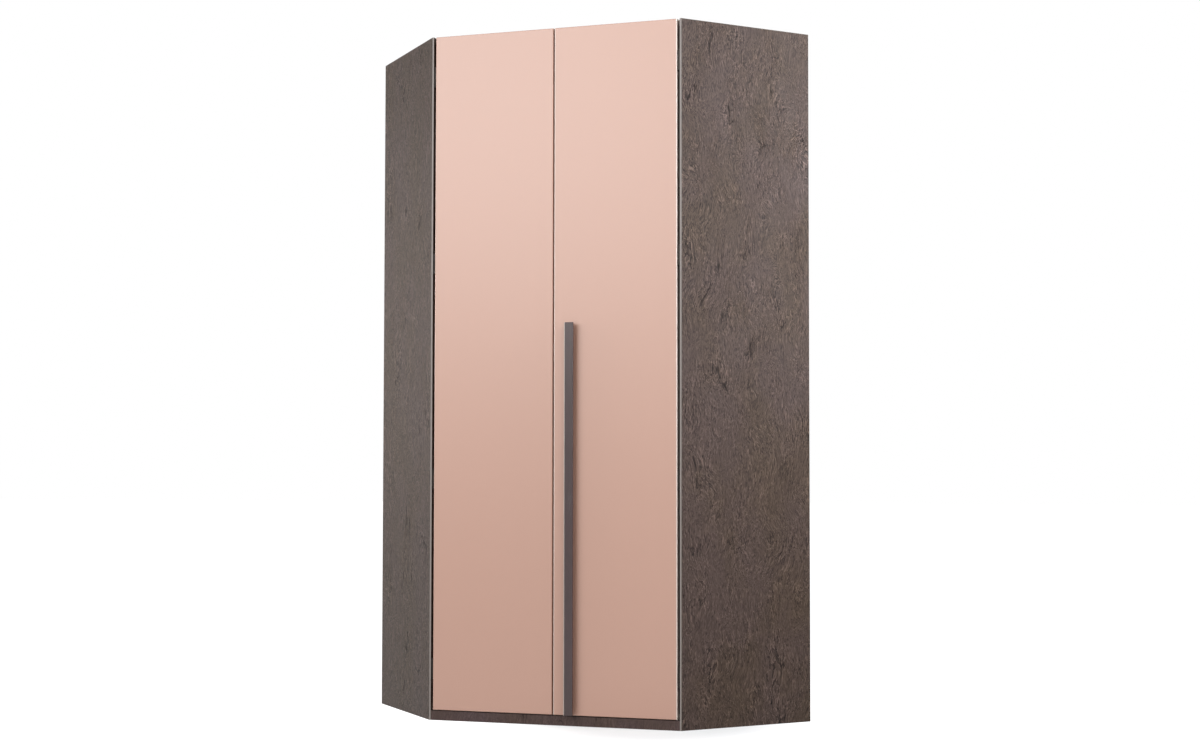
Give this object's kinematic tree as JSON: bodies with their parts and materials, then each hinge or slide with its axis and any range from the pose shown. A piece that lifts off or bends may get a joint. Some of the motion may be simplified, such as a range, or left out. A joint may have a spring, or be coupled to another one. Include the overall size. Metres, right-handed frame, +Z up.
{
  "type": "corner wardrobe",
  "caption": "Tall corner wardrobe with a five-sided plan, a diagonal front with a pair of hinged doors, a long strip handle, a hat shelf and a hanging rail.",
  "frame": {"origin": "on the floor, under the middle of the whole box, handle included", "axes": "+Z up, the doors face -Y, the room corner is at +Y, +X to the right as seen from the front"},
  "size_m": [1.499, 1.1054, 2.2],
  "materials": {
    "slate_board": "slate-look laminate, fine relief",
    "pale_edge": "satin edge strip",
    "rose_lacquer": "satin lacquer on board",
    "slate_handle": "slate-look foil, fine upright streaks",
    "inner_board": "pale linen-look melamine",
    "back_board": "hardboard, pale film inside",
    "plain_wood": "planed softwood",
    "rail_chrome": "polished chrome",
    "bracket_zinc": "satin nickel",
    "hinge_bronze": "dark bronze",
    "fitting_steel": "zinc plated",
    "black_plastic": "moulded, matt",
    "soft_buffer": "soft clear dot"
  },
  "bodies": {
    "carcass": {"back_screws": "fitting_steel", "bottom_panel": "inner_board", "cam_bolts": "fitting_steel", "cams": "fitting_steel", "corner_levelling_foot": "black_plastic", "dowels": "plain_wood", "hanging_rail": "rail_chrome", "hat_shelf": "inner_board", "hinge_arm_screws": "fitting_steel", "left_back_panel": "back_board", "left_edge_trim": "pale_edge", "left_hinge_arm_1": "hinge_bronze", "left_hinge_arm_2": "hinge_bronze", "left_hinge_arm_3": "hinge_bronze", "left_hinge_arm_4": "hinge_bronze", "left_hinge_pins": "hinge_bronze", "left_levelling_foot": "black_plastic", "left_plinth_block": "plain_wood", "left_rail_bracket": "bracket_zinc", "left_rail_cap": "black_plastic", "left_side_panel": "slate_board", "middle_levelling_foot": "black_plastic", "middle_rail_bracket": "bracket_zinc", "plinth_board": "slate_board", "rail_bracket_screws": "fitting_steel", "rear_corner_post": "plain_wood", "right_back_panel": "back_board", "right_edge_trim": "pale_edge", "right_hinge_arm_1": "hinge_bronze", "right_hinge_arm_2": "hinge_bronze", "right_hinge_arm_3": "hinge_bronze", "right_hinge_arm_4": "hinge_bronze", "right_hinge_pins": "hinge_bronze", "right_levelling_foot": "black_plastic", "right_plinth_block": "plain_wood", "right_rail_bracket": "bracket_zinc", "right_rail_cap": "black_plastic", "right_side_panel": "slate_board", "shelf_pins": "fitting_steel", "top_panel": "inner_board"},
    "left_door": {"left_door_buffers": "soft_buffer", "left_door_panel": "rose_lacquer", "left_hinge_leaf_1": "hinge_bronze", "left_hinge_leaf_2": "hinge_bronze", "left_hinge_leaf_3": "hinge_bronze", "left_hinge_leaf_4": "hinge_bronze", "left_hinge_leaf_screws": "fitting_steel"},
    "right_door": {"handle": "slate_handle", "handle_screws": "fitting_steel", "right_door_buffers": "soft_buffer", "right_door_panel": "rose_lacquer", "right_hinge_leaf_1": "hinge_bronze", "right_hinge_leaf_2": "hinge_bronze", "right_hinge_leaf_3": "hinge_bronze", "right_hinge_leaf_4": "hinge_bronze", "right_hinge_leaf_screws": "fitting_steel"}
  },
  "joints": [
    {"name": "left_door_swing", "type": "hinge", "parent": "carcass", "child": "left_door", "pos_m": [-0.41193, -0.52267, 1.1], "axis": [0, 0, -1], "range_deg": [0, 95]},
    {"name": "right_door_swing", "type": "hinge", "parent": "carcass", "child": "right_door", "pos_m": [0.41193, -0.52267, 1.1], "axis": [0, 0, 1], "range_deg": [0, 95]}
  ]
}
